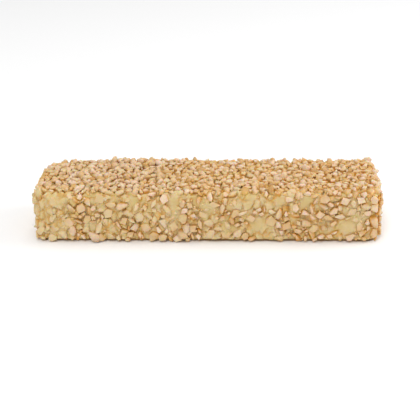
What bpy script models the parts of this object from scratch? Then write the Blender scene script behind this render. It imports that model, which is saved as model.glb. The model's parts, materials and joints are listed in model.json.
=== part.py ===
# Nougat slice: a long block of cream-covered cake, coated all round with chopped nuts, as one solid.
# Metres, +Z up. X runs along the slice, Y across it, and the origin is the middle of its flat base.

import math
import random

import bmesh
import bpy
from mathutils import Matrix, Vector, noise

# Driving dimensions
LENGTH = 0.250  # along X, over the nut coat
WIDTH = 0.070  # along Y, over the nut coat
HEIGHT = 0.039  # from the base to the top of the nut coat
COAT = 0.0020  # how far the boldest nut pieces stand out of the cream

# The cream-covered block under the nuts
CORNER_ROUND = 0.0065  # radius of its upright corners
TOP_ROUND = 0.0050  # radius along the top edges
BASE_ROUND = 0.0020  # radius along the base edges
CELL = 0.0150  # width of the cells that its faces are cut into
CUT_SNAP = 0.00001  # how near to each other two points count as one height or one upright
WAVE = 0.0007  # how far the hand-spread cream wanders in and out
WAVE_LENGTH = 0.034
LEFT_FALL = 0.0010  # how much lower the left end's top is than the middle
CORNER_REACH = 0.016  # how far along the edges a pulled-in corner reaches
CORNER_PULLS = {(-1, 1): 0.0042, (-1, -1): 0.0012, (1, 1): 0.0006, (1, -1): 0.0010}

# The chopped nuts, the largest first: how many, and the least and most width of each kind
NUT_KINDS = ((96, 0.0074, 0.0096), (150, 0.0056, 0.0074), (150, 0.0044, 0.0056))
MOST_ON_TOP = 0.0072  # width over which a piece lies on the sides alone
MOST_SMALL = 0.0060  # width up to which a piece has the fewest sides
LEAST_UP = -0.35  # nuts lie on faces whose normal rises at least this much
NUT_GAP = 0.0004  # least gap between two pieces
NUT_SINK = 0.0022  # how deep a piece reaches into the cream
NUT_ROOT = 0.65  # width at its lowest, as a share of its width
NUT_WAIST = 0.0005  # how far under the cream's surface a piece is widest
NUT_LEAN = 0.10  # how far its top face lies off its middle, as a share of its width
NUT_TILT = 0.10  # most that a piece leans out of the surface, in radians
NUT_FLOOR = 0.0003  # least height of a piece over the base
FLAT = 0.001  # angle, in radians, under which two neighbouring triangles of a piece are one face
MOST_DRAWS = 400  # random places tried for a piece before it is left out
SEED = 8

# Bare stretches of cream on the front: their middle along X and Z, and half their length and height
BARE_CREAM = (
    (-0.117, 0.022, 0.007, 0.012),
    (-0.064, 0.031, 0.007, 0.007),
    (-0.014, 0.035, 0.009, 0.004),
    (0.038, 0.009, 0.007, 0.008),
    (0.043, 0.031, 0.018, 0.007),
    (0.073, 0.031, 0.005, 0.006),
    (0.097, 0.012, 0.006, 0.007),
)

SHARP = math.radians(32)  # bends over this are shaded as an edge
CREAM_AND_NUT = (0.60, 0.39, 0.19, 1.0)


def round_edges(bm, wanted, radius, segments):
    """Bevels each edge whose two ends both pass the test."""
    edges = [edge for edge in bm.edges if wanted(*(vert.co for vert in edge.verts))]
    bmesh.ops.bevel(bm, geom=edges, offset=radius, segments=segments, profile=0.5, affect="EDGES")


def cut_into_cells(bm, axis, low, high):
    """Cuts every face but the base at even steps along one axis, so that the faces can bend."""
    cells = round((high - low) / CELL)
    normal = Vector((int(axis == 0), int(axis == 1), int(axis == 2)))
    for i in range(1, cells):
        place = normal * (low + (high - low) * i / cells)
        faces = [face for face in bm.faces if face.calc_center_median().z > 0]
        edges = [edge for edge in bm.edges if any(face in faces for face in edge.link_faces)]
        bmesh.ops.bisect_plane(bm, geom=faces + edges, dist=CUT_SNAP, plane_co=place, plane_no=normal)


def hand_spread(point, half, top):
    """Where a knife leaves a point of the block: wavy, low at the left end, with corners pulled in."""
    off_base = min(1.0, point.z / (2 * BASE_ROUND))
    sideways = Vector((point.x / half.x, point.y / half.y, 0)) * noise.noise(point / WAVE_LENGTH)
    upwards = noise.noise(point / WAVE_LENGTH + Vector((5, 0, 0))) * point.z / top
    fall = LEFT_FALL * max(0.0, -point.x / half.x) ** 2 * point.z / top
    moved = point + sideways * WAVE * off_base + Vector((0, 0, upwards * WAVE - fall))
    for (side_x, side_y), pull in CORNER_PULLS.items():
        corner = Vector((side_x * half.x, side_y * half.y))
        near = max(0.0, 1 - (point.xy - corner).length / CORNER_REACH)
        moved -= Vector((side_x, side_y, 0)).normalized() * pull * near * (2 - near)
    return moved


def make_block():
    """The cream-covered block: a cube stretched to size, with rounded edges, and then spread by hand."""
    half = Vector((LENGTH / 2 - COAT, WIDTH / 2 - COAT))
    top = HEIGHT - COAT
    bm = bmesh.new()
    bmesh.ops.create_cube(bm, size=1)
    bmesh.ops.scale(bm, vec=(2 * half.x, 2 * half.y, top), verts=bm.verts)
    bmesh.ops.translate(bm, vec=(0, 0, top / 2), verts=bm.verts)
    round_edges(bm, lambda a, b: (a - b).xy.length < CUT_SNAP, CORNER_ROUND, 3)
    round_edges(bm, lambda a, b: min(a.z, b.z) > top - CUT_SNAP, TOP_ROUND, 3)
    round_edges(bm, lambda a, b: max(a.z, b.z) < CUT_SNAP, BASE_ROUND, 2)
    cut_into_cells(bm, 0, -half.x, half.x)
    cut_into_cells(bm, 1, -half.y, half.y)
    cut_into_cells(bm, 2, 0, top)
    for vert in bm.verts:
        vert.co = hand_spread(vert.co, half, top)
    bmesh.ops.triangulate(bm, faces=bm.faces)
    return bm


def coated_triangles(bm):
    """The triangles that nuts may lie on: corners, normal and area of each, always in the same order."""
    bm.verts.index_update()
    found = []
    for face in bm.faces:
        if face.normal.z > LEAST_UP:
            corners = sorted(face.verts, key=lambda vert: vert.index)
            a, b, c = (vert.co for vert in corners)
            across = (b - a).cross(c - a)
            normal = across.normalized() * math.copysign(1, across.dot(face.normal))
            found.append(([vert.index for vert in corners], (a, b, c), normal, across.length / 2))
    return [triangle[1:] for triangle in sorted(found, key=lambda triangle: triangle[0])]


def is_bare(point, normal, reach):
    """Whether a piece that reaches so far from the point would lie in a bare stretch of the front."""
    if normal.y > -0.7:
        return False
    return any(
        math.hypot((point.x - x) / (half_x + reach / 2), (point.z - z) / (half_z + reach / 2)) < 1
        for x, z, half_x, half_z in BARE_CREAM
    )


def random_place(rng, triangles, areas):
    """An evenly drawn point on the triangles, with the normal there."""
    (a, b, c), normal, _ = rng.choices(triangles, areas)[0]
    u, v = rng.random(), rng.random()
    if u + v > 1:
        u, v = 1 - u, 1 - v
    return a + (b - a) * u + (c - a) * v, normal


def nut_places(bm, rng):
    """A place and a width for each nut piece, the largest first, none nearer than NUT_GAP to another."""
    triangles = coated_triangles(bm)
    areas = [area for _, _, area in triangles]
    places = []
    for count, least, most in NUT_KINDS:
        for i in range(count):
            width = most + (least - most) * i / count
            for _ in range(MOST_DRAWS):
                point, normal = random_place(rng, triangles, areas)
                reach = width / 2
                if width > MOST_ON_TOP and normal.z > 0.5:
                    continue
                if point.z < reach / 2 or is_bare(point, normal, reach):
                    continue
                if all((point - p).length > reach + w / 2 + NUT_GAP for p, _, w in places):
                    places.append((point, normal, width))
                    break
    return places


def make_nut(rng, width):
    """One chopped piece, lying in z = 0: an uneven chip, widest in the cream, with a smaller top face."""
    sides = rng.choice((4, 5, 5, 6)) if width > MOST_SMALL else rng.choice((4, 5))
    breadth = width * rng.uniform(0.62, 0.88)
    height = COAT * rng.uniform(0.55, 1.0)
    narrowing = rng.uniform(0.62, 0.84)
    turn = Matrix.Rotation(rng.uniform(0, math.tau), 3, "Z")
    lean = Vector((rng.uniform(-NUT_LEAN, NUT_LEAN), rng.uniform(-NUT_LEAN, NUT_LEAN), 0)) * width
    ring = []
    for i in range(sides):
        angle = math.tau * (i + rng.uniform(-0.25, 0.25)) / sides
        ring.append(turn @ Vector((math.cos(angle) * width / 2, math.sin(angle) * breadth / 2, 0)))
    points = [p * NUT_ROOT - Vector((0, 0, NUT_SINK)) for p in ring]
    points += [p - Vector((0, 0, NUT_WAIST)) for p in ring]
    points += [p * narrowing + lean + Vector((0, 0, height)) for p in ring]
    bm = bmesh.new()
    bmesh.ops.convex_hull(bm, input=[bm.verts.new(p) for p in points], use_existing_faces=False)
    bmesh.ops.delete(bm, geom=[v for v in bm.verts if not v.link_faces], context="VERTS")
    bmesh.ops.dissolve_limit(bm, angle_limit=FLAT, verts=bm.verts, edges=bm.edges)
    bmesh.ops.recalc_face_normals(bm, faces=bm.faces)
    return bm


def new_object(name, bm, collection):
    """Stores the finished bmesh as an object in the collection."""
    mesh = bpy.data.meshes.new(name)
    bm.to_mesh(mesh)
    bm.free()
    made = bpy.data.objects.new(name, mesh)
    collection.objects.link(made)
    return made


def keep_inside(bm):
    """Moves a piece back by as much as it stands out of the slice's size, or comes too near its base."""
    lowest = (-LENGTH / 2, -WIDTH / 2, NUT_FLOOR)
    highest = (LENGTH / 2, WIDTH / 2, HEIGHT)
    back = Vector()
    for axis in range(3):
        places = [vert.co[axis] for vert in bm.verts]
        back[axis] = max(0.0, lowest[axis] - min(places)) - max(0.0, max(places) - highest[axis])
    bm.transform(Matrix.Translation(back))


def lay_nuts(places, rng, collection):
    """Makes a chip for each place, turned to lie on the face there and then tilted a little."""
    for number, (point, normal, width) in enumerate(places):
        bm = make_nut(rng, width)
        upright = normal.to_track_quat("Z", "Y").to_matrix().to_4x4()
        tilt_x = Matrix.Rotation(rng.uniform(-NUT_TILT, NUT_TILT), 4, "X")
        tilt_y = Matrix.Rotation(rng.uniform(-NUT_TILT, NUT_TILT), 4, "Y")
        bm.transform(Matrix.Translation(point) @ upright @ tilt_x @ tilt_y)
        keep_inside(bm)
        new_object(f"nut_{number:03d}", bm, collection)


def cream_and_nut_material():
    """Pale yellow cream and lightly roasted nuts, matt to satin."""
    material = bpy.data.materials.new("cream_and_nuts")
    material.use_nodes = True
    shader = material.node_tree.nodes["Principled BSDF"]
    shader.inputs["Base Color"].default_value = CREAM_AND_NUT
    shader.inputs["Roughness"].default_value = 0.6
    shader.inputs["Metallic"].default_value = 0.0
    return material


def fuse(block, collection):
    """Joins the nut pieces to the block, applies the union and removes the loose pieces."""
    union = block.modifiers.new("nuts", "BOOLEAN")
    union.operation = "UNION"
    union.operand_type = "COLLECTION"
    union.collection = collection
    union.solver = "EXACT"
    graph = bpy.context.evaluated_depsgraph_get()
    fused = bpy.data.meshes.new_from_object(block.evaluated_get(graph))
    block.modifiers.clear()
    block.data = fused
    for piece in list(collection.objects):
        bpy.data.objects.remove(piece)
    bpy.data.collections.remove(collection)


def main():
    for old in list(bpy.data.objects):
        bpy.data.objects.remove(old)
    rng = random.Random(SEED)
    scene_collection = bpy.context.scene.collection
    nuts = bpy.data.collections.new("nuts")
    scene_collection.children.link(nuts)
    bm = make_block()
    lay_nuts(nut_places(bm, rng), rng, nuts)
    block = new_object("nougat_slice", bm, scene_collection)
    fuse(block, nuts)
    block.data.materials.clear()
    block.data.materials.append(cream_and_nut_material())
    block.data.shade_smooth()
    block.data.set_sharp_from_angle(angle=SHARP)


main()
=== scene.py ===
import json
import math
import random

import bmesh
import bpy
import numpy as np
from mathutils import Matrix, Vector, noise

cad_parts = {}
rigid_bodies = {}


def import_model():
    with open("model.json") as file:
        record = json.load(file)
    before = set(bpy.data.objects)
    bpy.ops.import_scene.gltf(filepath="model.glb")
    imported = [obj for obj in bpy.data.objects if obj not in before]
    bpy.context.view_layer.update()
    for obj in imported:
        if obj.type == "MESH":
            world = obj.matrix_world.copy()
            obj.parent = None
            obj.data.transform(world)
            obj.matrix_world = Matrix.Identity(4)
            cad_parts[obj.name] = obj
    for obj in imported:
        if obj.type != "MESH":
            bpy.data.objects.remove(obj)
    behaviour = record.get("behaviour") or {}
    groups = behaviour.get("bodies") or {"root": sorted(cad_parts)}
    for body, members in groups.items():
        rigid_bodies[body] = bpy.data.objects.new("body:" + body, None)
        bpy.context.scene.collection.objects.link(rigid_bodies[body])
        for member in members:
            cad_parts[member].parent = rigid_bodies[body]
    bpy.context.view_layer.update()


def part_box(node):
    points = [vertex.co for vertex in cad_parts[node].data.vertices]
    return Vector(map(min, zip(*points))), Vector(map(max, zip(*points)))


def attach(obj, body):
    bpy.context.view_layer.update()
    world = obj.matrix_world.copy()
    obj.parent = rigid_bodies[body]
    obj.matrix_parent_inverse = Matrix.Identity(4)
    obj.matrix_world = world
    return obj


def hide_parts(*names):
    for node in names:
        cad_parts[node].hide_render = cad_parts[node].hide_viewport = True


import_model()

sliceLow, sliceHigh = (Vector(round(value, 6) for value in corner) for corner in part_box("nougat_slice"))
sliceSize = sliceHigh - sliceLow


# The block under the nuts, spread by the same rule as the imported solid,
# so that each large nut lies where it lies in the solid

block = {
    "coat": 0.0020,  # how far the boldest nuts stand out of the cream
    "cornerRound": 0.0065,
    "topRound": 0.0050,
    "baseRound": 0.0020,
    "roundSteps": 3,
    "baseSteps": 2,
    "cell": 0.0150,  # the faces are cut to about this size before they are spread
    "snap": 0.00001,
    "wave": 0.0007,
    "waveLength": 0.034,
    "heightNoise": Vector((5, 0, 0)),  # where the noise for the heights is read
    "leftFall": 0.0010,  # how much lower the top lies at its left end
    "cornerReach": 0.016,
    # how far each upright corner is drawn in, beyond its rounding
    "cornerPulls": {(-1, 1): 0.0042, (-1, -1): 0.0012, (1, 1): 0.0006, (1, -1): 0.0010},
}


def roundEdges(bm, wanted, radius, segments):
    edges = [edge for edge in bm.edges if wanted(*(vert.co for vert in edge.verts))]
    bmesh.ops.bevel(bm, geom=edges, offset=radius, segments=segments, profile=0.5, affect="EDGES")


def cutIntoCells(bm, axis, low, high):
    cells = round((high - low) / block["cell"])
    normal = Vector((int(axis == 0), int(axis == 1), int(axis == 2)))
    for i in range(1, cells):
        place = normal * (low + (high - low) * i / cells)
        faces = [face for face in bm.faces if face.calc_center_median().z > 0]
        edges = [edge for edge in bm.edges if any(face in faces for face in edge.link_faces)]
        bmesh.ops.bisect_plane(bm, geom=faces + edges, dist=block["snap"], plane_co=place, plane_no=normal)


def handSpread(point, half, top):
    offBase = min(1.0, point.z / (2 * block["baseRound"]))
    sideways = Vector((point.x / half.x, point.y / half.y, 0)) * noise.noise(point / block["waveLength"])
    upwards = noise.noise(point / block["waveLength"] + block["heightNoise"]) * point.z / top
    fall = block["leftFall"] * max(0.0, -point.x / half.x) ** 2 * point.z / top
    moved = point + sideways * block["wave"] * offBase + Vector((0, 0, upwards * block["wave"] - fall))
    for (sideX, sideY), pull in block["cornerPulls"].items():
        corner = Vector((sideX * half.x, sideY * half.y))
        near = max(0.0, 1 - (point.xy - corner).length / block["cornerReach"])
        moved -= Vector((sideX, sideY, 0)).normalized() * pull * near * (2 - near)
    return moved


def makeBlock():
    half = Vector((sliceSize.x / 2 - block["coat"], sliceSize.y / 2 - block["coat"]))
    top = sliceSize.z - block["coat"]
    snap = block["snap"]
    bm = bmesh.new()
    bmesh.ops.create_cube(bm, size=1)
    bmesh.ops.scale(bm, vec=(2 * half.x, 2 * half.y, top), verts=bm.verts)
    bmesh.ops.translate(bm, vec=(0, 0, top / 2), verts=bm.verts)
    roundEdges(bm, lambda a, b: (a - b).xy.length < snap, block["cornerRound"], block["roundSteps"])
    roundEdges(bm, lambda a, b: min(a.z, b.z) > top - snap, block["topRound"], block["roundSteps"])
    roundEdges(bm, lambda a, b: max(a.z, b.z) < snap, block["baseRound"], block["baseSteps"])
    cutIntoCells(bm, 0, -half.x, half.x)
    cutIntoCells(bm, 1, -half.y, half.y)
    cutIntoCells(bm, 2, 0, top)
    for vert in bm.verts:
        vert.co = handSpread(vert.co, half, top)
    bmesh.ops.triangulate(bm, faces=bm.faces)
    return bm


# The large nuts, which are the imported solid's own: drawn in the same order, they lie in the same places

nuts = {
    # how many, the least width and the most
    "kinds": ((96, 0.0074, 0.0096), (150, 0.0056, 0.0074), (150, 0.0044, 0.0056)),
    "mostOnTop": 0.0072,  # no wider nut lies on the top
    "mostSmall": 0.0060,
    "smallSides": (4, 5),
    "largeSides": (4, 5, 5, 6),
    "cornerSpread": 0.25,  # how unevenly the corners lie round the nut
    "breadths": (0.62, 0.88),  # as a share of the width
    "heights": (0.55, 1.0),  # as a share of the coat
    "tops": (0.62, 0.84),  # the top's width, as a share of the nut's
    "topNormal": 0.5,
    "frontNormal": -0.7,
    "leastUp": -0.35,  # a face that looks further down carries no nut
    "gap": 0.0004,
    "draws": 400,
    "seed": 8,
    "lean": 0.10,  # how far its top may lie to one side, as a share of its width
    "leanWidest": 0.5,  # how much of that it has where it is widest
    "tilt": 0.10,
    "floor": 0.0003,
    "sink": 0.0022,  # how deep its root reaches
    "root": 0.65,
    "waist": 0.0005,
    "foot": 0.80,  # its width where it enters the cream
    "widest": 0.97,
    "overhang": 0.42,  # how far up from the cream it is widest, as a share of its height
    "topShrink": 1.08,
    "topUneven": 0.16,  # how much lower one side of its top may lie, as a share of its height
    "shapeSeed": 31,
    "tones": (0.0, 0.85),
    "bareCream": (  # middle along X and Z, half length and half height, on the front
        (-0.117, 0.022, 0.007, 0.012),
        (-0.064, 0.031, 0.007, 0.007),
        (-0.014, 0.035, 0.009, 0.004),
        (0.038, 0.009, 0.007, 0.008),
        (0.043, 0.031, 0.018, 0.007),
        (0.073, 0.031, 0.005, 0.006),
        (0.097, 0.012, 0.006, 0.007),
    ),
}


def coatedTriangles(bm):
    bm.verts.index_update()
    found = []
    for face in bm.faces:
        if face.normal.z > nuts["leastUp"]:
            corners = sorted(face.verts, key=lambda vert: vert.index)
            a, b, c = (vert.co.copy() for vert in corners)
            across = (b - a).cross(c - a)
            normal = across.normalized() * math.copysign(1, across.dot(face.normal))
            found.append(([vert.index for vert in corners], (a, b, c), normal, across.length / 2))
    return [triangle[1:] for triangle in sorted(found, key=lambda triangle: triangle[0])]


def isBare(point, reach, patches):
    return any(
        math.hypot((point.x - x) / (halfX + reach / 2), (point.z - z) / (halfZ + reach / 2)) < 1
        for x, z, halfX, halfZ in patches
    )


def randomPlace(rng, triangles, areas):
    (a, b, c), normal, _ = rng.choices(triangles, areas)[0]
    u, v = rng.random(), rng.random()
    if u + v > 1:
        u, v = 1 - u, 1 - v
    return a + (b - a) * u + (c - a) * v, normal


def largeNutPlaces(rng, triangles, areas):
    places = []
    for count, least, most in nuts["kinds"]:
        for i in range(count):
            width = most + (least - most) * i / count
            for _ in range(nuts["draws"]):
                point, normal = randomPlace(rng, triangles, areas)
                reach = width / 2
                if width > nuts["mostOnTop"] and normal.z > nuts["topNormal"]:
                    continue
                onFront = normal.y <= nuts["frontNormal"]
                if point.z < reach / 2 or (onFront and isBare(point, reach, nuts["bareCream"])):
                    continue
                if all((point - p).length > reach + w / 2 + nuts["gap"] for p, _, w in places):
                    places.append((point, normal, width))
                    break
    return places


def closedHull(points):
    # A closed mesh round the points, without those that fall inside it
    bm = bmesh.new()
    bmesh.ops.convex_hull(bm, input=[bm.verts.new(point) for point in points], use_existing_faces=False)
    bmesh.ops.delete(bm, geom=[vert for vert in bm.verts if not vert.link_faces], context="VERTS")
    bmesh.ops.recalc_face_normals(bm, faces=bm.faces)
    return bm


def largeNut(rng, shapeRng, width):
    sides = rng.choice(nuts["largeSides"] if width > nuts["mostSmall"] else nuts["smallSides"])
    breadth = width * rng.uniform(*nuts["breadths"])
    height = block["coat"] * rng.uniform(*nuts["heights"])
    narrowing = rng.uniform(*nuts["tops"])
    turn = Matrix.Rotation(rng.uniform(0, math.tau), 3, "Z")
    leanX, leanY = (rng.uniform(-nuts["lean"], nuts["lean"]) for _ in range(2))
    lean = Vector((leanX, leanY, 0)) * width
    ring = []
    for i in range(sides):
        angle = math.tau * (i + rng.uniform(-nuts["cornerSpread"], nuts["cornerSpread"])) / sides
        ring.append(turn @ Vector((math.cos(angle) * width / 2, math.sin(angle) * breadth / 2, 0)))
    widestUp = Vector((0, 0, height * nuts["overhang"]))
    points = [p * nuts["root"] - Vector((0, 0, nuts["sink"])) for p in ring]
    points += [p * nuts["foot"] - Vector((0, 0, nuts["waist"])) for p in ring]
    points += [p * nuts["widest"] + lean * nuts["leanWidest"] + widestUp for p in ring]
    for p in ring:
        drop = height * nuts["topUneven"] * shapeRng.random()
        points.append(p * narrowing * nuts["topShrink"] + lean + Vector((0, 0, height - drop)))
    bm = closedHull(points)
    bm.verts.index_update()
    return bm


def insideSlice(bm):
    lowest = (sliceLow.x, sliceLow.y, nuts["floor"])
    highest = (sliceHigh.x, sliceHigh.y, sliceSize.z)
    back = Vector()
    for axis in range(3):
        places = [vert.co[axis] for vert in bm.verts]
        back[axis] = max(0.0, lowest[axis] - min(places)) - max(0.0, max(places) - highest[axis])
    bm.transform(Matrix.Translation(back))


def linked(name, mesh):
    made = bpy.data.objects.new(name, mesh)
    bpy.context.scene.collection.objects.link(made)
    return made


def finishMesh(bm, name):
    mesh = bpy.data.meshes.new(name)
    bm.to_mesh(mesh)
    bm.free()
    return mesh


def makeLargeNuts(places, rng):
    shapeRng = random.Random(nuts["shapeSeed"])
    joined = bmesh.new()
    tone = joined.verts.layers.float.new("nutTone")
    standing = joined.verts.layers.float.new("standing")
    for point, normal, width in places:
        nut = largeNut(rng, shapeRng, width)
        upright = normal.to_track_quat("Z", "Y").to_matrix().to_4x4()
        tiltX = Matrix.Rotation(rng.uniform(-nuts["tilt"], nuts["tilt"]), 4, "X")
        tiltY = Matrix.Rotation(rng.uniform(-nuts["tilt"], nuts["tilt"]), 4, "Y")
        nut.transform(Matrix.Translation(point) @ upright @ tiltX @ tiltY)
        insideSlice(nut)
        nutTone = shapeRng.uniform(*nuts["tones"])
        copies = {}
        for vert in nut.verts:
            copies[vert.index] = joined.verts.new(vert.co)
            copies[vert.index][tone] = nutTone
            copies[vert.index][standing] = (vert.co - point).dot(normal)
        for face in nut.faces:
            joined.faces.new([copies[vert.index] for vert in face.verts])
        nut.free()
    joined.normal_update()
    return finishMesh(joined, "largeNuts")


# The smaller nuts: a few chopped shapes of each kind, one unit wide, and a point for each place

chips = {
    "shapes": 20,
    "grain": 2,  # how finely the ball is divided that is cut up
    "cuts": (6, 8),
    "nearestCut": 0.17,
    "furthestCut": 0.32,
    "merge": 0.02,
    "flatten": math.radians(9),
    "smooth": True,
    "seed": 5,
}
crumbs = {
    "shapes": 8,
    "grain": 1,
    "cuts": (3, 5),
    "nearestCut": 0.20,
    "furthestCut": 0.34,
    "merge": 0.02,
    "flatten": math.radians(20),
    "smooth": False,
    "seed": 6,
}
flatChips = {
    "shapes": 12,
    "sides": (4, 6),
    "cornerSpread": 0.32,
    "reaches": (0.40, 0.58),  # from the middle to a corner
    "root": 0.72,
    "rootTop": -0.3,  # the edges that lie lower stay sharp, as they are in the cream
    "widest": 0.02,
    "tops": (0.78, 0.92),
    "uneven": 0.30,
    "flatten": math.radians(4),
    "edge": 0.07,
    "seed": 7,
}


def choppedShape(rng, kind):
    # A ball with a few flat cuts through it, one unit wide
    rough = bmesh.new()
    bmesh.ops.create_icosphere(rough, subdivisions=kind["grain"], radius=0.5)
    for _ in range(rng.randint(*kind["cuts"])):
        across = Vector((rng.gauss(0, 1), rng.gauss(0, 1), rng.gauss(0, 1))).normalized()
        middle = across * rng.uniform(kind["nearestCut"], kind["furthestCut"])
        everything = [*rough.verts, *rough.edges, *rough.faces]
        bmesh.ops.bisect_plane(rough, geom=everything, plane_co=middle, plane_no=across, clear_outer=True)
        bmesh.ops.holes_fill(rough, edges=[edge for edge in rough.edges if edge.is_boundary], sides=0)
    bmesh.ops.remove_doubles(rough, verts=rough.verts, dist=kind["merge"])
    bmesh.ops.dissolve_limit(rough, angle_limit=kind["flatten"], verts=rough.verts, edges=rough.edges)
    bm = closedHull([vert.co for vert in rough.verts])
    rough.free()
    width = max(vert.co.x for vert in bm.verts) - min(vert.co.x for vert in bm.verts)
    bmesh.ops.scale(bm, vec=(1 / width, 1 / width, 1 / width), verts=bm.verts)
    for face in bm.faces:
        face.smooth = kind["smooth"]
    return bm


def flatShape(rng, kind):
    # A broken flake with straight sides, widest at half its height, with one side of its top lower
    points = []
    sides = rng.randint(*kind["sides"])
    slope = Vector((rng.uniform(-1, 1), rng.uniform(-1, 1))) * kind["uneven"]
    for i in range(sides):
        angle = math.tau * (i + rng.uniform(-kind["cornerSpread"], kind["cornerSpread"])) / sides
        out = Vector((math.cos(angle), math.sin(angle))) * rng.uniform(*kind["reaches"])
        levels = ((kind["root"], -0.5), (1.0, kind["widest"]), (rng.uniform(*kind["tops"]), 0.5))
        for share, height in levels:
            raised = slope.dot(out) * 2 if height > kind["widest"] else 0
            points.append((out.x * share, out.y * share, height + raised))
    bm = closedHull(points)
    bmesh.ops.dissolve_limit(bm, angle_limit=kind["flatten"], verts=bm.verts, edges=bm.edges)
    upper = [edge for edge in bm.edges if min(vert.co.z for vert in edge.verts) > kind["rootTop"]]
    bmesh.ops.bevel(bm, geom=upper, offset=kind["edge"], segments=1, profile=0.5, affect="EDGES")
    bmesh.ops.triangulate(bm, faces=bm.faces)
    bmesh.ops.recalc_face_normals(bm, faces=bm.faces)
    for face in bm.faces:
        face.smooth = True
    return bm


def chippedCollection(name, *kinds):
    collection = bpy.data.collections.new(name)
    for kind, makeShape in kinds:
        rng = random.Random(kind["seed"])
        for _ in range(kind["shapes"]):
            shapeName = f"{name}Shape{len(collection.objects):02d}"
            shapeMesh = finishMesh(makeShape(rng, kind), shapeName)
            collection.objects.link(bpy.data.objects.new(shapeName, shapeMesh))
    return collection


# How each kind of small nut is laid. Those that find no room are left out.

laying = {
    "draws": 30,
    "lowest": 0.0020,  # the least height of a nut's middle above the base
    "lowestShare": 0.75,  # and the same as a share of half its width
    "sparseBelow": 0.0050,  # fewer small nuts stick this close to the base
    "sparseShare": 0.5,
    "floor": 0.0007,
    "creamNormal": -0.3,  # faces that look further forward have the smooth cream
    "creamShare": 0.6,  # how much of a nut keeps off the smooth cream
    "ragged": 0.004,
    "raggedLength": 0.005,
    "sizeSpread": 0.08,
    "looksSeed": 100,  # added to the seed of the places for the turns, sizes and tones
}


topFill = {
    "count": 1900,
    "widths": (0.0032, 0.0066),
    "bias": 1.1,  # over 1 makes more of them small
    "spacing": 0.76,  # distance between two nuts, as a share of their two half widths
    "tilt": 0.60,
    "lift": (-0.0008, 0.0003),  # how far its middle lies above the block
    "breadth": (0.66, 1.0),  # this and the thickness are shares of the width
    "thickness": (0.66, 0.95),
    "thickest": 0.0046,
    "onTop": (True,),  # which faces have it: the top's, the sides' or both
    "shapes": 20,
    "tones": (0.18, 1.0),
    "seed": 21,
}
sideFill = {
    "count": 1500,
    "widths": (0.0032, 0.0098),
    "bias": 0.95,
    "spacing": 0.70,
    "tilt": 0.60,
    "lift": (-0.0005, 0.0006),
    "breadth": (0.40, 0.88),
    "thickness": (0.36, 0.66),
    "thickest": 0.0034,
    "onTop": (False,),
    "shapes": 32,
    "tones": (0.0, 0.80),
    "seed": 22,
}
looseFill = {
    "count": 320,
    "widths": (0.0030, 0.0054),
    "bias": 1.2,
    "spacing": 1.5,
    "tilt": 0.7,
    "lift": (0.0003, 0.0009),
    "breadth": (0.60, 0.98),
    "thickness": (0.55, 0.85),
    "thickest": 0.0040,
    "onTop": (True,),
    "shapes": 20,
    "tones": (0.14, 1.0),
    "seed": 23,
}
crumbFill = {
    "count": 2200,
    "widths": (0.0008, 0.0022),
    "bias": 1.4,
    "spacing": 0.9,
    "tilt": 1.2,
    "lift": (0.0, 0.0004),
    "breadth": (0.60, 1.0),
    "thickness": (0.5, 0.9),
    "thickest": 0.0020,
    "onTop": (True, False),
    "shapes": 8,
    "tones": (0.0, 1.0),
    "seed": 24,
}
# Where the photo shows smooth cream on the front: middle along X and Z, half length and half height
smoothCream = (
    (-0.116, 0.0235, 0.006, 0.0095),
    (-0.1035, 0.0145, 0.0048, 0.0030),
    (-0.103, 0.0345, 0.006, 0.0034),
    (-0.082, 0.0350, 0.004, 0.0028),
    (-0.047, 0.0348, 0.0075, 0.0036),
    (-0.064, 0.0335, 0.006, 0.0045),
    (-0.063, 0.0225, 0.0030, 0.0050),
    (-0.0255, 0.0335, 0.0085, 0.0048),
    (-0.0133, 0.0352, 0.0062, 0.0036),
    (0.0032, 0.0212, 0.0036, 0.0040),
    (0.0310, 0.0320, 0.0125, 0.0075),
    (0.0400, 0.0200, 0.0045, 0.0050),
    (0.0385, 0.0095, 0.0068, 0.0078),
    (0.0480, 0.0312, 0.0090, 0.0058),
    (0.0700, 0.0308, 0.0047, 0.0048),
    (0.0985, 0.0112, 0.0085, 0.0066),
    (0.116, 0.0208, 0.0044, 0.0040),
)


topEdge = {
    "spill": 0.0010,  # how far below the top its nuts reach
    "uneven": 0.0022,
    "least": 0.0005,
    "patch": 0.011,
    "front": -0.0290,
    "frontUneven": 0.0080,
    "rightSpill": 0.0026,  # how much further they reach at the right
    "rightFrom": 0.050,
    "rightFade": 0.03,
    "ledge": (0.021, 0.049),
    "ledgeBack": -0.0285,
}
heap = {
    "above": 0.033,  # the top, which has the heap
    "height": 0.0011,
    "middle": -0.060,
    "halfLength": 0.034,
    "pressedLeft": -0.1205,
    "pressed": -0.0008,
}


class Taken:
    # Every nut laid so far, so that the next one keeps its distance
    def __init__(self, room):
        self.points = np.zeros((room, 3))
        self.reaches = np.zeros(room)
        self.count = 0

    def add(self, point, reach):
        self.points[self.count] = point
        self.reaches[self.count] = reach
        self.count += 1

    def isFree(self, point, reach, spacing):
        away = np.linalg.norm(self.points[: self.count] - point, axis=1)
        return bool(np.all(away > (self.reaches[: self.count] + reach) * spacing))


def isOnTop(point):
    # The top's nuts end at its rounded edge, hang over it at the right, and leave a ledge of cream bare
    if topEdge["ledge"][0] < point.x < topEdge["ledge"][1] and point.y < topEdge["ledgeBack"]:
        return False
    fall = block["leftFall"] * max(0.0, -2 * point.x / sliceSize.x) ** 2
    drop = sliceHigh.z - block["coat"] - fall - point.z
    wander = noise.noise(Vector((point.x, point.y, 0)) / topEdge["patch"])
    right = min(1.0, max(0.0, (point.x - topEdge["rightFrom"]) / topEdge["rightFade"]))
    if right == 0 and point.y < topEdge["front"] + topEdge["frontUneven"] * wander:
        return False
    spill = topEdge["spill"] + topEdge["uneven"] * wander + topEdge["rightSpill"] * right
    return drop < max(topEdge["least"], spill)


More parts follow.
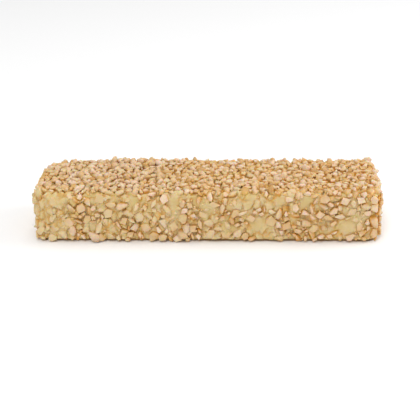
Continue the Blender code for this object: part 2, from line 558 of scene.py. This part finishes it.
def heaped(point):
    # The nuts lie a little thicker along one stretch of the top, and are pressed in at the left end
    if point.z > heap["above"]:
        return heap["height"] * math.exp(-(((point.x - heap["middle"]) / heap["halfLength"]) ** 2))
    return heap["pressed"] if point.x < heap["pressedLeft"] else 0.0


def fillPlaces(kind, triangles, areas, taken, keepOffCream):
    rng = random.Random(kind["seed"])
    least, most = kind["widths"]
    found = []
    for i in range(kind["count"]):
        width = most + (least - most) * (i / kind["count"]) ** (1 / kind["bias"])
        for _ in range(laying["draws"]):
            point, normal = randomPlace(rng, triangles, areas)
            reach = width / 2
            lowest = max(reach * laying["lowestShare"], laying["lowest"])
            if point.z < lowest or isOnTop(point) not in kind["onTop"]:
                continue
            if point.z < laying["sparseBelow"] and rng.random() < laying["sparseShare"]:
                continue
            ragged = laying["ragged"] * noise.noise(point / laying["raggedLength"])
            edge = reach * laying["creamShare"] + ragged
            if keepOffCream and normal.y < laying["creamNormal"] and isBare(point, edge, smoothCream):
                continue
            if taken.isFree(point, reach, kind["spacing"]):
                taken.add(point, reach)
                found.append((point, normal, width))
                break
    return found


def pointCloud(name, kind, places):
    rng = random.Random(kind["seed"] + laying["looksSeed"])
    mesh = bpy.data.meshes.new(name)
    turns, sizes, tones, shapes, points, normals = [], [], [], [], [], []
    for point, normal, width in places:
        upright = normal.to_track_quat("Z", "Y").to_matrix()
        tiltX = Matrix.Rotation(rng.gauss(0, 1) * kind["tilt"] / 2, 3, "X")
        tiltY = Matrix.Rotation(rng.gauss(0, 1) * kind["tilt"] / 2, 3, "Y")
        spin = Matrix.Rotation(rng.uniform(0, math.tau), 3, "Z")
        turns.append((upright @ tiltX @ tiltY @ spin).to_euler())
        thickness = min(kind["thickest"], width * rng.uniform(*kind["thickness"]))
        sizes.append((width, width * rng.uniform(*kind["breadth"]), thickness))
        tones.append(rng.uniform(*kind["tones"]))
        shapes.append(rng.randrange(kind["shapes"]))
        points.append(point + normal * (rng.uniform(*kind["lift"]) + heaped(point)))
        normals.append(normal)
    mesh.from_pydata(points, [], [])
    grounds = [point for point, _, _ in places]
    vectors = {"ground": grounds, "groundNormal": normals, "turn": turns, "size": sizes}
    for label, values in vectors.items():
        mesh.attributes.new(label, "FLOAT_VECTOR", "POINT").data.foreach_set("vector", np.ravel(values))
    mesh.attributes.new("nutTone", "FLOAT", "POINT").data.foreach_set("value", tones)
    mesh.attributes.new("shape", "INT", "POINT").data.foreach_set("value", shapes)
    return mesh


# Node helpers: an input is either a constant or another node's output

def addNode(tree, kind, inputs=None, **settings):
    made = tree.nodes.new(kind)
    for name, value in settings.items():
        setattr(made, name, value)
    for socket, value in (inputs or {}).items():
        if isinstance(value, bpy.types.NodeSocket):
            tree.links.new(value, made.inputs[socket])
        else:
            made.inputs[socket].default_value = value
    return made


def newTree(name, inputs):
    tree = bpy.data.node_groups.new(name, "GeometryNodeTree")
    tree.interface.new_socket("Geometry", in_out="INPUT", socket_type="NodeSocketGeometry")
    tree.interface.new_socket("Geometry", in_out="OUTPUT", socket_type="NodeSocketGeometry")
    for label, socketType in inputs.items():
        tree.interface.new_socket(label, in_out="INPUT", socket_type=socketType)
    return tree, addNode(tree, "NodeGroupInput")


def runTree(piece, tree, values):
    modifier = piece.modifiers.new(tree.name, "NODES")
    modifier.node_group = tree
    sockets = {item.name: item.identifier for item in tree.interface.items_tree if item.in_out == "INPUT"}
    for label, value in values.items():
        modifier[sockets[label]] = value
    depsgraph = bpy.context.evaluated_depsgraph_get()
    made = bpy.data.meshes.new_from_object(piece.evaluated_get(depsgraph))
    piece.modifiers.clear()
    made.name = piece.name
    piece.data = made
    return piece


def namedAttribute(tree, name, dataType):
    node = addNode(tree, "GeometryNodeInputNamedAttribute", {"Name": name}, data_type=dataType)
    return node.outputs["Attribute"]


def calculated(tree, operation, a, b):
    return addNode(tree, "ShaderNodeMath", {0: a, 1: b}, operation=operation).outputs[0]


def vectorResult(tree, operation, a, b):
    return addNode(tree, "ShaderNodeVectorMath", {0: a, 1: b}, operation=operation)


def scaled(tree, vector, factor):
    return addNode(tree, "ShaderNodeVectorMath", {0: vector, "Scale": factor}, operation="SCALE").outputs[0]


def mapped(tree, value, low, high, atLow, atHigh, **settings):
    return addNode(tree, "ShaderNodeMapRange", {
        "Value": value, "From Min": low, "From Max": high, "To Min": atLow, "To Max": atHigh,
    }, **settings).outputs[0]


def noiseOf(tree, place, scale, detail):
    return addNode(tree, "ShaderNodeTexNoise", {"Vector": place, "Scale": scale, "Detail": detail})


def blended(tree, share, first, second, blendType="MIX"):
    colours = {0: share, 6: first, 7: second}
    return addNode(tree, "ShaderNodeMix", colours, data_type="RGBA", blend_type=blendType).outputs[2]


def choppedNutTree():
    # One chopped shape on each point, a little larger or smaller, and none of it under the floor height
    tree, given = newTree("choppedNuts", {
        "Shapes": "NodeSocketCollection",
        "Size": "NodeSocketFloat",
        "Size Spread": "NodeSocketFloat",
        "Floor": "NodeSocketFloat",
        "Seed": "NodeSocketInt",
        "Finish": "NodeSocketMaterial",
    })
    position = addNode(tree, "GeometryNodeInputPosition").outputs[0]
    shapes = addNode(tree, "GeometryNodeCollectionInfo", {
        "Collection": given.outputs["Shapes"], "Separate Children": True, "Reset Children": True,
    })
    turn = addNode(tree, "FunctionNodeEulerToRotation", {0: namedAttribute(tree, "turn", "FLOAT_VECTOR")})
    varied = addNode(tree, "FunctionNodeRandomValue", {
        2: calculated(tree, "SUBTRACT", 1.0, given.outputs["Size Spread"]),
        3: calculated(tree, "ADD", 1.0, given.outputs["Size Spread"]),
        "Seed": given.outputs["Seed"],
    }, data_type="FLOAT")
    factor = calculated(tree, "MULTIPLY", varied.outputs[1], given.outputs["Size"])
    laid = addNode(tree, "GeometryNodeInstanceOnPoints", {
        "Points": given.outputs["Geometry"],
        "Instance": shapes.outputs["Instances"],
        "Pick Instance": True,
        "Instance Index": namedAttribute(tree, "shape", "INT"),
        "Rotation": turn.outputs[0],
        "Scale": scaled(tree, namedAttribute(tree, "size", "FLOAT_VECTOR"), factor),
    })
    real = addNode(tree, "GeometryNodeRealizeInstances", {"Geometry": laid.outputs["Instances"]})
    where = addNode(tree, "ShaderNodeSeparateXYZ", {0: position})
    raised = addNode(tree, "ShaderNodeCombineXYZ", {
        0: where.outputs["X"],
        1: where.outputs["Y"],
        2: calculated(tree, "MAXIMUM", where.outputs["Z"], given.outputs["Floor"]),
    })
    stood = addNode(tree, "GeometryNodeSetPosition", {
        "Geometry": real.outputs[0], "Position": raised.outputs[0],
    })
    # How far each point stands out of the cream, for the painted shade at the foot of the nut
    offGround = vectorResult(tree, "SUBTRACT", position, namedAttribute(tree, "ground", "FLOAT_VECTOR"))
    upwards = namedAttribute(tree, "groundNormal", "FLOAT_VECTOR")
    standing = vectorResult(tree, "DOT_PRODUCT", offGround.outputs[0], upwards)
    known = addNode(tree, "GeometryNodeStoreNamedAttribute", {
        "Geometry": stood.outputs[0], "Name": "standing", "Value": standing.outputs["Value"],
    }, data_type="FLOAT", domain="POINT")
    finished = addNode(tree, "GeometryNodeSetMaterial", {
        "Geometry": known.outputs[0], "Material": given.outputs["Finish"],
    })
    addNode(tree, "NodeGroupOutput", {"Geometry": finished.outputs[0]})
    return tree


def layNuts(name, kind, places, shapes, tree, material):
    piece = linked(name, pointCloud(name, kind, places))
    runTree(piece, tree, {
        "Shapes": shapes,
        "Size": 1.0,
        "Size Spread": laying["sizeSpread"],
        "Floor": laying["floor"],
        "Seed": kind["seed"],
        "Finish": material,
    })
    for spare in ("turn", "size", "shape", "ground", "groundNormal"):
        if spare in piece.data.attributes:
            piece.data.attributes.remove(piece.data.attributes[spare])
    return piece


# The cream: the block as a fine mesh, with knife strokes, covered nuts, a lip round each nut and a grain,
# and painted shade in its grooves, furrows, under the top's nuts and at its foot

cream = {
    "voxel": 0.00072,
    "smoothing": 4,
    "level": -0.0004,
    "topLevel": -0.0014,
    "swellHeight": 0.0034,
    "swellScale": 62.0,
    "strokeHeight": 0.0020,
    "strokeScale": (105.0, 70.0, 45.0),
    "lumpHeight": 0.0022,
    "lumpScale": 175.0,
    "lumpStretch": (1.0, 1.0, 0.62),
    "bendScale": 240.0,
    "bendReach": 0.0040,
    "buriedScale": 85.0,
    "buriedRange": (0.43, 0.55),
    "plateRange": (0.02, 0.22),  # from the edge of a plate inwards
    "furrowWidth": 0.15,
    # how much painted shade the furrows get
    "furrowShade": 0.90,
    "grooveDepth": 0.0006,
    "grooveWidth": 0.0014,
    "shadedSide": (0.4, 0.0, -0.9),  # where a groove and its painted shade are deepest, seen from its nut: below and to the right, away from a lamp at the upper left
    "grooveRange": (-0.5, 0.7),
    "grooveLeast": 0.40,
    "coverRange": (0.49, 0.60),
    "coverMost": 2.5,
    "grainHeight": 0.00026,
    "grainScale": 620.0,
    "topNormal": (0.90, 0.98),
    "frontEdge": (-0.0296, -0.0266),  # along Y, where the front's cream passes into the top's
    "calm": 0.0028,  # the relief fades out over this height above the base
    "calmFrom": 0.0006,
    "undercut": 0.0026,  # and there the cream draws in
    "leftMore": 0.60,  # the cream covers more of the nuts towards the left
    "leftLumps": 0.80,  # and more of them are buried there
}


def creamTree():
    tree, given = newTree("spreadCream", {
        "Large Nuts": "NodeSocketObject",
        "Side Nuts": "NodeSocketObject",
        "Level": "NodeSocketFloat",
        "Top Level": "NodeSocketFloat",
        "Swell Height": "NodeSocketFloat",
        "Swell Scale": "NodeSocketFloat",
        "Stroke Height": "NodeSocketFloat",
        "Stroke Scale": "NodeSocketVector",
        "Lump Height": "NodeSocketFloat",
        "Lump Scale": "NodeSocketFloat",
        "Groove Depth": "NodeSocketFloat",
        "Groove Width": "NodeSocketFloat",
        "Grain Height": "NodeSocketFloat",
        "Grain Scale": "NodeSocketFloat",
        "Calm Height": "NodeSocketFloat",
        "Undercut": "NodeSocketFloat",
        "Left More": "NodeSocketFloat",
        "Left Lumps": "NodeSocketFloat",
        "Finish": "NodeSocketMaterial",
    })
    position = addNode(tree, "GeometryNodeInputPosition").outputs[0]
    normal = addNode(tree, "GeometryNodeInputNormal").outputs[0]
    apart = addNode(tree, "ShaderNodeSeparateXYZ", {0: position})
    height = apart.outputs["Z"]

    def plus(a, b):
        return calculated(tree, "ADD", a, b)

    def minus(a, b):
        return calculated(tree, "SUBTRACT", a, b)

    def times(a, b):
        return calculated(tree, "MULTIPLY", a, b)

    def greater(a, b):
        return calculated(tree, "MAXIMUM", a, b)

    def faded(value, low, high, atLow, atHigh):
        return mapped(tree, value, low, high, atLow, atHigh, interpolation_type="SMOOTHSTEP")

    # Knife strokes, longer upwards than along the slice
    stretched = vectorResult(tree, "MULTIPLY", position, given.outputs["Stroke Scale"])
    strokes = noiseOf(tree, stretched.outputs[0], 1.0, 3.0)
    stroke = times(minus(strokes.outputs[0], 0.5), given.outputs["Stroke Height"])
    # Nuts buried under the cream show as taller plates with furrows between them, and the furrows get
    # painted shade
    bend = noiseOf(tree, position, cream["bendScale"], 1.0)
    upright = vectorResult(tree, "MULTIPLY", position, cream["lumpStretch"])
    bending = scaled(tree, bend.outputs["Color"], cream["bendReach"])
    bent = vectorResult(tree, "ADD", upright.outputs[0], bending)
    cells = addNode(tree, "ShaderNodeTexVoronoi", {
        "Vector": bent.outputs[0], "Scale": given.outputs["Lump Scale"], "Randomness": 1.0,
    }, feature="DISTANCE_TO_EDGE")
    inwards = cells.outputs["Distance"]
    where = noiseOf(tree, position, cream["buriedScale"], 1.0)
    lumpy = minus(where.outputs[0], times(apart.outputs["X"], given.outputs["Left Lumps"]))
    buried = faded(lumpy, *cream["buriedRange"], 0.0, 1.0)
    plate = faded(inwards, *cream["plateRange"], -0.5, 0.5)
    lump = times(times(plate, buried), given.outputs["Lump Height"])
    crease = faded(inwards, 0.0, cream["furrowWidth"], 1.0, 0.0)
    shadedFurrow = times(times(crease, buried), cream["furrowShade"])
    # A groove round each nut, deepest under it, with painted shade in it, and where the cream swells it
    # covers the nut instead
    laid = addNode(tree, "GeometryNodeJoinGeometry")
    for label in ("Large Nuts", "Side Nuts"):
        piece = addNode(tree, "GeometryNodeObjectInfo", {"Object": given.outputs[label]})
        tree.links.new(piece.outputs["Geometry"], laid.inputs[0])
    near = addNode(tree, "GeometryNodeProximity", {0: laid.outputs[0]}, target_element="FACES")
    away = vectorResult(tree, "SUBTRACT", position, near.outputs["Position"])
    aside = addNode(tree, "ShaderNodeVectorMath", {0: away.outputs[0]}, operation="NORMALIZE")
    below = vectorResult(tree, "DOT_PRODUCT", aside.outputs[0], cream["shadedSide"])
    waves = noiseOf(tree, position, given.outputs["Swell Scale"], 1.0)
    swells = minus(waves.outputs[0], times(apart.outputs["X"], given.outputs["Left More"]))
    facing = addNode(tree, "ShaderNodeSeparateXYZ", {0: normal})
    atFront = faded(apart.outputs["Y"], *cream["frontEdge"], 1.0, 0.0)
    offTop = greater(faded(facing.outputs["Z"], *cream["topNormal"], 1.0, 0.0), atFront)
    closeBy = faded(near.outputs["Distance"], given.outputs["Groove Width"], 0.0, 0.0, 1.0)
    # Painted shade: the ring is strongest on the side turned away from a lamp at the upper left
    ring = times(closeBy, faded(below.outputs["Value"], *cream["grooveRange"], cream["grooveLeast"], 1.0))
    covered = times(faded(swells, *cream["coverRange"], 0.0, cream["coverMost"]), offTop)
    # The same mask cuts the groove into the cream and sets its painted shade
    hollow = times(ring, minus(1.0, covered))
    lip = times(hollow, times(given.outputs["Groove Depth"], -1.0))
    grains = noiseOf(tree, position, given.outputs["Grain Scale"], 2.0)
    grain = times(minus(grains.outputs[0], 0.5), given.outputs["Grain Height"])
    swell = times(times(minus(swells, 0.5), offTop), given.outputs["Swell Height"])
    level = plus(swell, faded(offTop, 0.0, 1.0, given.outputs["Top Level"], given.outputs["Level"]))
    relief = plus(plus(stroke, lump), plus(lip, plus(grain, level)))
    # Near the base the relief fades, and the cream draws in without leaving the base
    offBase = faded(height, cream["calmFrom"], given.outputs["Calm Height"], 0.0, 1.0)
    drawnIn = times(minus(offBase, 1.0), given.outputs["Undercut"])
    offset = scaled(tree, normal, plus(times(relief, offBase), drawnIn))
    sideways = vectorResult(tree, "MULTIPLY", offset, (1.0, 1.0, 0.0))
    low = addNode(tree, "FunctionNodeCompare", {
        0: height, 1: given.outputs["Calm Height"],
    }, operation="LESS_THAN")
    step = addNode(tree, "GeometryNodeSwitch", {
        "Switch": low.outputs[0], "False": offset, "True": sideways.outputs[0],
    }, input_type="VECTOR")
    moved = addNode(tree, "GeometryNodeSetPosition", {
        "Geometry": given.outputs["Geometry"], "Offset": step.outputs[0],
    })
    # Painted shade under the top's nuts and near the foot, stored with the groove and furrow shade
    shadeUnderNutsAndFoot = minus(1.0, times(offTop, offBase))
    known = addNode(tree, "GeometryNodeStoreNamedAttribute", {
        "Geometry": moved.outputs[0], "Name": "hollow", "Value": greater(greater(hollow, shadedFurrow), shadeUnderNutsAndFoot),
    }, data_type="FLOAT", domain="POINT")
    smooth = addNode(tree, "GeometryNodeSetShadeSmooth", {"Geometry": known.outputs[0]})
    finished = addNode(tree, "GeometryNodeSetMaterial", {
        "Geometry": smooth.outputs[0], "Material": given.outputs["Finish"],
    })
    addNode(tree, "NodeGroupOutput", {"Geometry": finished.outputs[0]})
    return tree


def flattenBase(mesh):
    # The fine mesh waves a little there, and one flat face needs no fine cells
    bm = bmesh.new()
    bm.from_mesh(mesh)
    for vert in bm.verts:
        if vert.co.z < cream["voxel"] / 2:
            vert.co.z = 0
    flat = [face for face in bm.faces if all(vert.co.z == 0 for vert in face.verts)]
    bmesh.ops.dissolve_faces(bm, faces=flat, use_verts=False)
    bmesh.ops.triangulate(bm, faces=[face for face in bm.faces if len(face.verts) > 4])
    bm.to_mesh(mesh)
    bm.free()


def makeCream(blockMesh, largeNutPiece, sideNutPiece, material):
    piece = linked("creamCoat", blockMesh)
    fine = piece.modifiers.new("fine", "REMESH")
    fine.mode = "VOXEL"
    fine.voxel_size = cream["voxel"]
    even = piece.modifiers.new("even", "SMOOTH")
    even.factor = 0.5
    even.iterations = cream["smoothing"]
    depsgraph = bpy.context.evaluated_depsgraph_get()
    piece.data = bpy.data.meshes.new_from_object(piece.evaluated_get(depsgraph))
    piece.modifiers.clear()
    flattenBase(piece.data)
    return runTree(piece, creamTree(), {
        "Large Nuts": largeNutPiece,
        "Side Nuts": sideNutPiece,
        "Level": cream["level"],
        "Top Level": cream["topLevel"],
        "Swell Height": cream["swellHeight"],
        "Swell Scale": cream["swellScale"],
        "Stroke Height": cream["strokeHeight"],
        "Stroke Scale": cream["strokeScale"],
        "Lump Height": cream["lumpHeight"],
        "Lump Scale": cream["lumpScale"],
        "Groove Depth": cream["grooveDepth"],
        "Groove Width": cream["grooveWidth"],
        "Grain Height": cream["grainHeight"],
        "Grain Scale": cream["grainScale"],
        "Calm Height": cream["calm"],
        "Undercut": cream["undercut"],
        "Left More": cream["leftMore"],
        "Left Lumps": cream["leftLumps"],
        "Finish": material,
    })


# Finishes

creamLook = {
    "pale": (0.690, 0.540, 0.292, 1),
    "deep": (0.630, 0.462, 0.186, 1),
    "patchScale": 90.0,
    "patchRange": (0.38, 0.64),
    # the painted shade colour of the grooves, furrows, the cream under the top's nuts and the foot
    "hollow": (0.65, 0.325, 0.034, 1),
    "paintedShadeShare": 0.92,
    "base": (0.29, 0.158, 0.052, 1),  # painted contact shadow, a dark brown band over the lowest millimetres of the cream at its foot
    "baseRange": (0.0010, 0.0020),
    "roughness": 0.52,
    "subsurface": 0.40,
    "subsurfaceRadius": (1.0, 0.50, 0.12),
    "subsurfaceScale": 0.0014,
    "bump": 0.4,
    "bumpDepth": 0.0003,
    "bumpScale": 1500.0,
}
nutLook = {
    "tones": (
        (0.00, (0.84, 0.655, 0.500, 1)),
        (0.30, (0.78, 0.575, 0.385, 1)),
        (0.60, (0.73, 0.508, 0.280, 1)),
        (0.85, (0.68, 0.440, 0.195, 1)),
        (0.97, (0.63, 0.365, 0.120, 1)),
        (1.00, (0.52, 0.280, 0.080, 1)),
    ),
    "mottleScale": 420.0,
    "mottleRange": (0.35, 0.6),
    "mottleDark": 0.88,
    "smearRange": (0.45, 0.57),
    "leastSmear": 0.1,  # as a share of the finish's smear
    "footShadePaler": 0.5,  # the same
    "footShadeRange": (0.43, 0.57),
    "roughness": 0.48,
    "subsurface": 0.45,
    "subsurfaceRadius": (1.0, 0.45, 0.10),
    "subsurfaceScale": 0.0014,
    "bump": 0.3,
    "bumpDepth": 0.0002,
    "bumpScale": 1400.0,
}
# Painted shade: a deep orange at each nut's foot, up to a little above the cream
cleanFinish = {"smear": 0.0, "footShade": (0.74, 0.455, 0.13, 1), "footShadeStrength": 0.85, "footShadeTop": 0.0014}
creamedFinish = {"smear": 0.76, "footShade": (0.66, 0.325, 0.035, 1), "footShadeStrength": 0.90, "footShadeTop": 0.0014}


def newMaterial(name):
    material = bpy.data.materials.new(name)
    material.use_nodes = True
    return material, material.node_tree, material.node_tree.nodes["Principled BSDF"]


def objectPlace(tree):
    return addNode(tree, "ShaderNodeTexCoord").outputs["Object"]


def setRamp(ramp, stops):
    elements = ramp.color_ramp.elements
    while len(elements) < len(stops):
        elements.new(0.5)
    for element, (position, colour) in zip(elements, stops):
        element.position = position
        element.color = colour


def setShader(tree, shader, place, look):
    fine = noiseOf(tree, place, look["bumpScale"], 2.0)
    bump = addNode(tree, "ShaderNodeBump", {
        "Height": fine.outputs[0], "Strength": look["bump"], "Distance": look["bumpDepth"],
    })
    tree.links.new(bump.outputs[0], shader.inputs["Normal"])
    shader.inputs["Roughness"].default_value = look["roughness"]
    shader.inputs["Subsurface Weight"].default_value = look["subsurface"]
    shader.inputs["Subsurface Radius"].default_value = look["subsurfaceRadius"]
    shader.inputs["Subsurface Scale"].default_value = look["subsurfaceScale"]


def creamMaterial():
    material, tree, shader = newMaterial("paleCream")
    place = objectPlace(tree)
    patches = noiseOf(tree, place, creamLook["patchScale"], 4.0)
    colour = addNode(tree, "ShaderNodeValToRGB", {"Fac": patches.outputs[0]})
    deepTo, paleFrom = creamLook["patchRange"]
    setRamp(colour, ((deepTo, creamLook["deep"]), (paleFrom, creamLook["pale"])))
    # Painted shade: deep orange in the grooves and furrows, under the nuts of the top and near the foot
    shadeMask = addNode(tree, "ShaderNodeAttribute", attribute_name="hollow", attribute_type="GEOMETRY")
    share = mapped(tree, shadeMask.outputs["Fac"], 0.0, 1.0, 0.0, creamLook["paintedShadeShare"])
    mixed = blended(tree, share, colour.outputs[0], creamLook["hollow"])
    apart = addNode(tree, "ShaderNodeSeparateXYZ", {0: place})
    # Painted contact shadow: dark brown over the lowest two millimetres of the cream
    foot = mapped(tree, apart.outputs["Z"], *creamLook["baseRange"], 1.0, 0.0)
    tree.links.new(blended(tree, foot, mixed, creamLook["base"]), shader.inputs["Base Color"])
    setShader(tree, shader, place, creamLook)
    return material


def nutMaterial(name, finish):
    material, tree, shader = newMaterial(name)
    place = objectPlace(tree)
    tone = addNode(tree, "ShaderNodeAttribute", attribute_name="nutTone", attribute_type="GEOMETRY")
    ramp = addNode(tree, "ShaderNodeValToRGB", {"Fac": tone.outputs["Fac"]})
    setRamp(ramp, nutLook["tones"])
    mottle = noiseOf(tree, place, nutLook["mottleScale"], 3.0)
    shade = mapped(tree, mottle.outputs[0], *nutLook["mottleRange"], nutLook["mottleDark"], 1.0)
    mixed = blended(tree, 1.0, ramp.outputs[0], shade, "MULTIPLY")
    # Where the cream swells it has been drawn over the nuts, and the painted shade at their foot is lighter
    smears = noiseOf(tree, place, cream["swellScale"], 1.0)
    apart = addNode(tree, "ShaderNodeSeparateXYZ", {0: place})
    leftMore = calculated(tree, "MULTIPLY", apart.outputs["X"], cream["leftMore"])
    swells = calculated(tree, "SUBTRACT", smears.outputs[0], leftMore)
    leastSmear = nutLook["leastSmear"] * finish["smear"]
    smear = mapped(tree, swells, *nutLook["smearRange"], leastSmear, finish["smear"])
    smeared = blended(tree, smear, mixed, creamLook["pale"])
    leastFootShade = finish["footShadeStrength"] * (1 - nutLook["footShadePaler"] * finish["smear"])
    footShade = mapped(tree, swells, *nutLook["footShadeRange"], finish["footShadeStrength"], leastFootShade)
    # Painted shade: each nut turns deep orange towards its foot
    standing = addNode(tree, "ShaderNodeAttribute", attribute_name="standing", attribute_type="GEOMETRY")
    atFoot = mapped(tree, standing.outputs["Fac"], 0.0, finish["footShadeTop"], footShade, 0.0)
    tree.links.new(blended(tree, atFoot, smeared, finish["footShade"]), shader.inputs["Base Color"])
    setShader(tree, shader, place, nutLook)
    return material


# Putting the slice together

blockBm = makeBlock()
triangles = coatedTriangles(blockBm)
areas = [area for _, _, area in triangles]
blockMesh = finishMesh(blockBm, "creamBlock")

placeRng = random.Random(nuts["seed"])
largePlaces = largeNutPlaces(placeRng, triangles, areas)
cleanNut = nutMaterial("choppedNut", cleanFinish)
creamedNut = nutMaterial("creamedNut", creamedFinish)
largeNuts = linked("largeNuts", makeLargeNuts(largePlaces, placeRng))
largeNuts.data.materials.append(creamedNut)
print("large nuts:", len(largePlaces))

taken = Taken(len(largePlaces) + topFill["count"] + sideFill["count"])
for point, _, width in largePlaces:
    taken.add(point, width / 2)
chipShapes = chippedCollection("chip", (chips, choppedShape))
sideShapes = chippedCollection("sideChip", (flatChips, flatShape), (chips, choppedShape))
crumbShapes = chippedCollection("crumb", (crumbs, choppedShape))
nutTree = choppedNutTree()
topPlaces = fillPlaces(topFill, triangles, areas, taken, True)
sidePlaces = fillPlaces(sideFill, triangles, areas, taken, True)
loosePlaces = fillPlaces(looseFill, triangles, areas, Taken(looseFill["count"]), False)
crumbPlaces = fillPlaces(crumbFill, triangles, areas, Taken(crumbFill["count"]), True)
topNuts = layNuts("topNuts", topFill, topPlaces, chipShapes, nutTree, cleanNut)
sideNuts = layNuts("sideNuts", sideFill, sidePlaces, sideShapes, nutTree, creamedNut)
looseNuts = layNuts("looseNuts", looseFill, loosePlaces, chipShapes, nutTree, cleanNut)
nutCrumbs = layNuts("nutCrumbs", crumbFill, crumbPlaces, crumbShapes, nutTree, cleanNut)
print("small nuts and crumbs laid")

creamCoat = makeCream(blockMesh, largeNuts, sideNuts, creamMaterial())
print("cream spread")

for spareCollection in (chipShapes, sideShapes, crumbShapes):
    for shape in list(spareCollection.objects):
        bpy.data.objects.remove(shape)
    bpy.data.collections.remove(spareCollection)

for piece, slot in (
    (creamCoat, "cream"),
    (largeNuts, "nut_coat"),
    (topNuts, "nut_coat"),
    (sideNuts, "nut_coat"),
    (looseNuts, "nut_coat"),
    (nutCrumbs, "nut_coat"),
):
    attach(piece, "root")
    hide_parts("nougat_slice")
    print(piece.name, "triangles:", sum(len(face.vertices) - 2 for face in piece.data.polygons))


# Floor, light and camera

studio = {
    "floorSize": 8.0,
    "floorColour": (0.96, 0.96, 0.96, 1),
    "floorRoughness": 0.9,
    "floorShine": 0.1,
    "floorGap": 0.0002,
    "sky": 0.57,
    "lamps": (
        # place, side, watts
        ((0.0, 0.28, 2.0), 1.0, 7.2),
        ((-0.25, -1.30, 1.74), 1.0, 19.0),
        ((1.3, 0.2, 0.7), 0.6, 7.0),
    ),
}
photoView = {
    "framePixels": 420,
    "focalPixels": 1000,
    "sensor": 36.0,
    "clip": (0.01, 50),
    "pitch": math.radians(24.6),
    "yaw": math.radians(2.2),
    "roll": math.radians(-0.8),
    "distance": 0.738,
    "target": Vector((0.0013, 0, 0.0099)),
}


def makeFloor():
    bm = bmesh.new()
    bmesh.ops.create_grid(bm, x_segments=1, y_segments=1, size=studio["floorSize"] / 2)
    bmesh.ops.translate(bm, vec=(0, 0, -studio["floorGap"]), verts=bm.verts)
    floor = linked("paleFloor", finishMesh(bm, "paleFloor"))
    material, _, shader = newMaterial("paleFloor")
    shader.inputs["Base Color"].default_value = studio["floorColour"]
    shader.inputs["Roughness"].default_value = studio["floorRoughness"]
    shader.inputs["Specular IOR Level"].default_value = studio["floorShine"]
    floor.data.materials.append(material)


def makeLights():
    world = bpy.data.worlds.new("softStudio")
    bpy.context.scene.world = world
    world.use_nodes = True
    background = world.node_tree.nodes["Background"]
    background.inputs["Color"].default_value = (1, 1, 1, 1)
    background.inputs["Strength"].default_value = studio["sky"]
    for i, (place, side, watts) in enumerate(studio["lamps"]):
        lamp = bpy.data.lights.new(f"softLamp{i}", "AREA")
        lamp.size = side
        lamp.energy = watts
        holder = linked(f"softLamp{i}", lamp)
        holder.location = place
        holder.rotation_euler = (-Vector(place)).to_track_quat("-Z", "Y").to_euler()


def makeCamera():
    pitch, yaw, roll = photoView["pitch"], photoView["yaw"], photoView["roll"]
    forward = Vector((-math.sin(yaw) * math.cos(pitch), math.cos(yaw) * math.cos(pitch), -math.sin(pitch)))
    lens = bpy.data.cameras.new("photoCamera")
    lens.sensor_width = photoView["sensor"]
    lens.lens = photoView["focalPixels"] * photoView["sensor"] / photoView["framePixels"]
    lens.clip_start, lens.clip_end = photoView["clip"]
    camera = linked("photoCamera", lens)
    camera.location = photoView["target"] - forward * photoView["distance"]
    turned = forward.to_track_quat("-Z", "Y").to_matrix() @ Matrix.Rotation(roll, 3, "Z")
    camera.rotation_euler = turned.to_euler()
    bpy.context.scene.camera = camera


makeFloor()
makeLights()
makeCamera()
bpy.context.scene.view_settings.view_transform = "Standard"
print("floor, lights and camera set")
